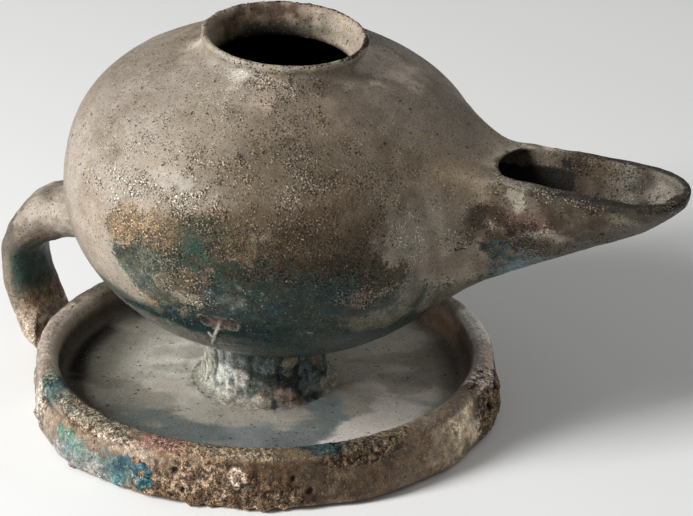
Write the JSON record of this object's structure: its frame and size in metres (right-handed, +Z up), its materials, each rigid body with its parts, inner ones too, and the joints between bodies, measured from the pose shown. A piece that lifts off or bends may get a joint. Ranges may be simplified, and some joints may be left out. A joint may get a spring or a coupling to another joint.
{
  "type": "oil lamp",
  "caption": "Round glazed pottery oil lamp with a low collar, a long open spout and a strap handle, on a short stem in a drip dish.",
  "frame": {"origin": "centre of the drip dish's flat underside, on the dish's axis", "axes": "+Z up along the dish's axis, +X towards the spout's tip, with the handle on -X; the pot leans 3 degrees towards +X"},
  "size_m": [0.1807, 0.1208, 0.1019],
  "materials": {
    "weathered_glaze": "satin, worn and pitted over buff clay, dark green-blue low down"
  },
  "bodies": {
    "root": {"oil_lamp": "weathered_glaze"}
  },
  "joints": []
}
